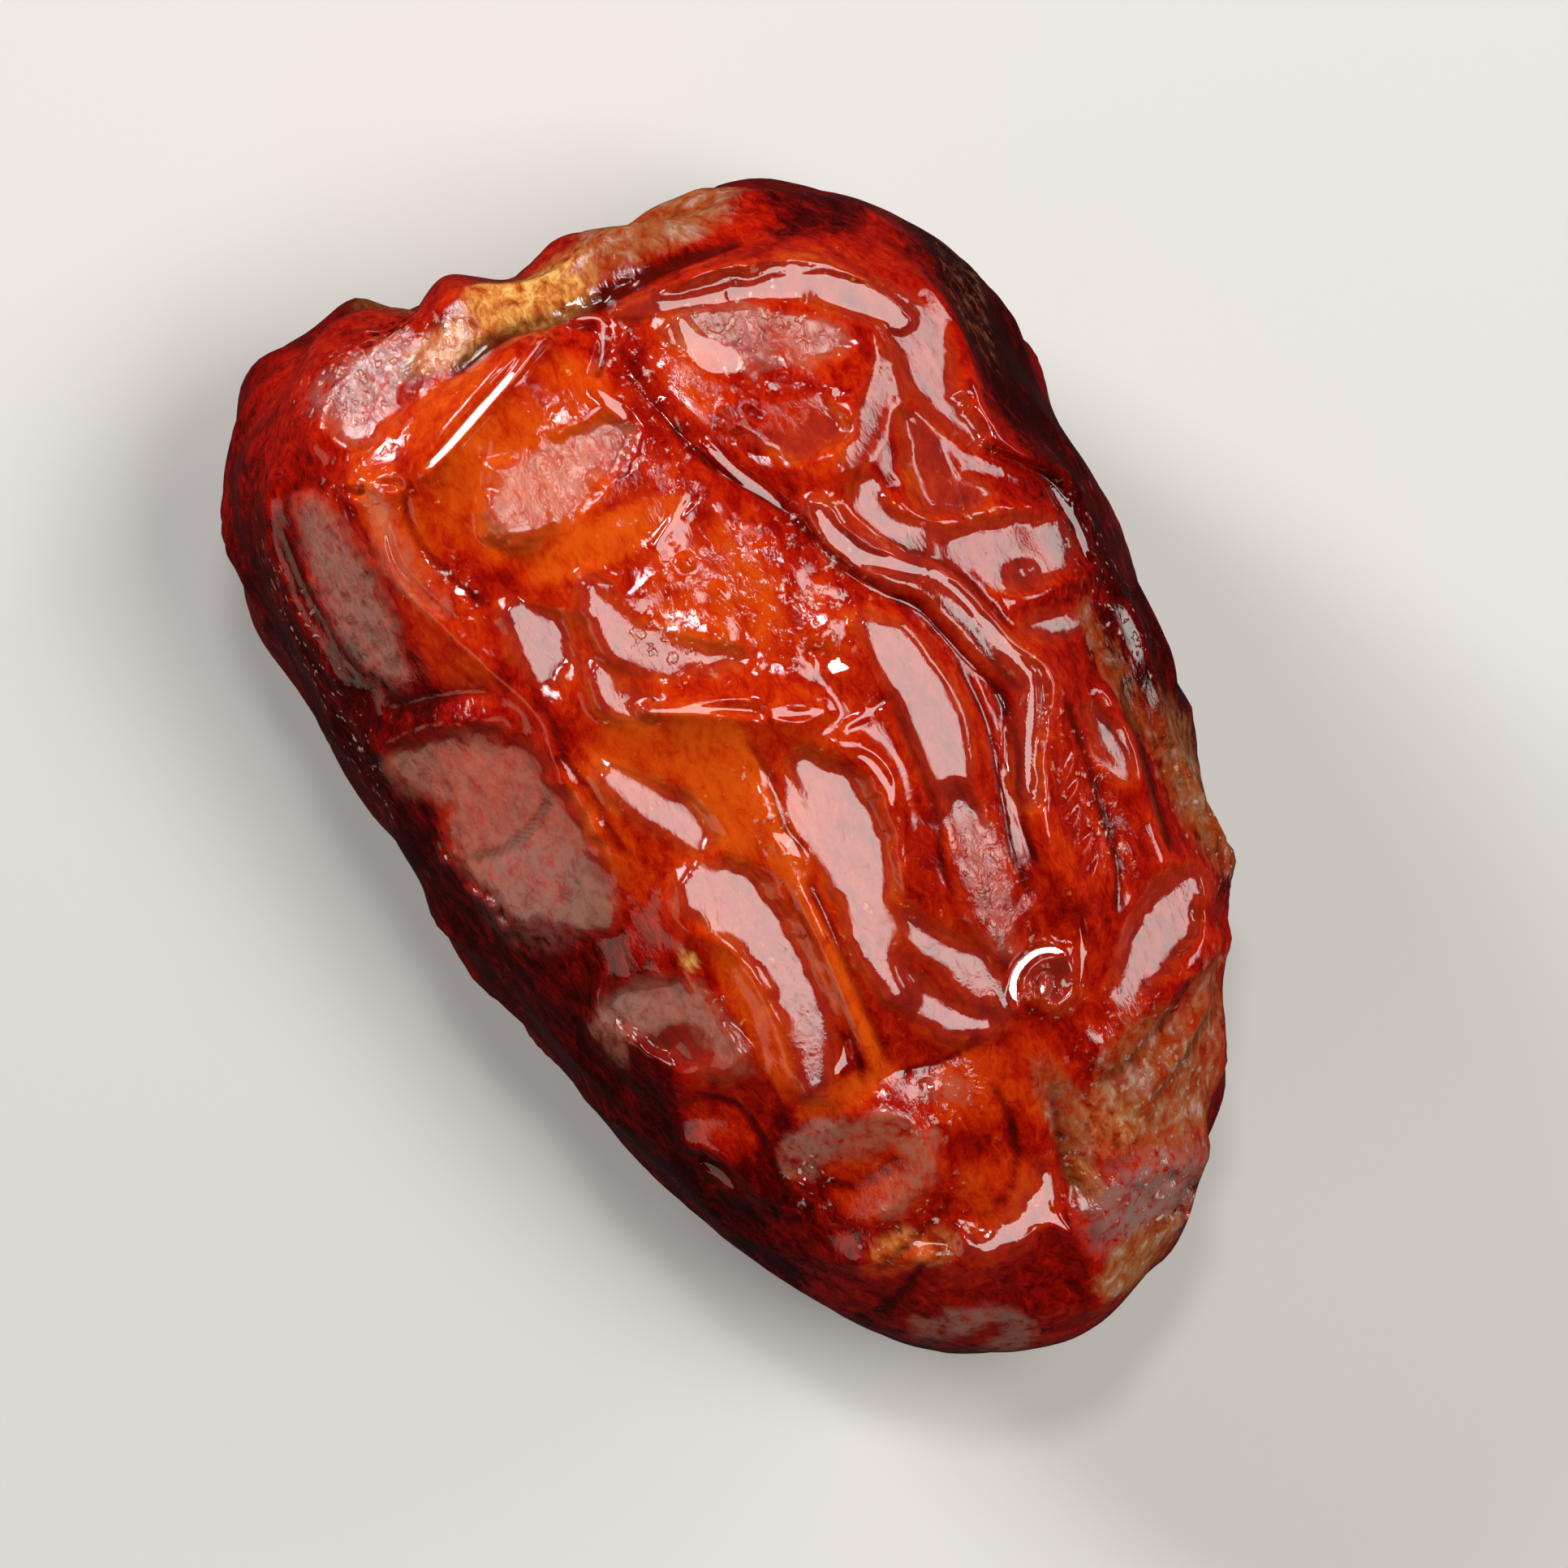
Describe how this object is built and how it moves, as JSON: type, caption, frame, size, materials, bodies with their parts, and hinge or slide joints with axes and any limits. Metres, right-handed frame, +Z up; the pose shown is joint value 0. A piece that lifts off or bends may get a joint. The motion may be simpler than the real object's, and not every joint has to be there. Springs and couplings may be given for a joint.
{
  "type": "braim date fruit",
  "caption": "Whole ripe soft date with glossy, folded amber-red skin, blunt at its stem end and narrower at its tip, lying on its side.",
  "frame": {"origin": "middle of the fruit in plan, on the surface that it rests on", "axes": "+X along the fruit from its blunt stem end to its narrower tip, +Y across it, +Z up from the surface that it rests on"},
  "size_m": [0.0364, 0.0242, 0.0187],
  "materials": {
    "date_skin": "wet syrup gloss over thin, folded, translucent skin"
  },
  "bodies": {
    "root": {"date_fruit": "date_skin"}
  },
  "joints": []
}
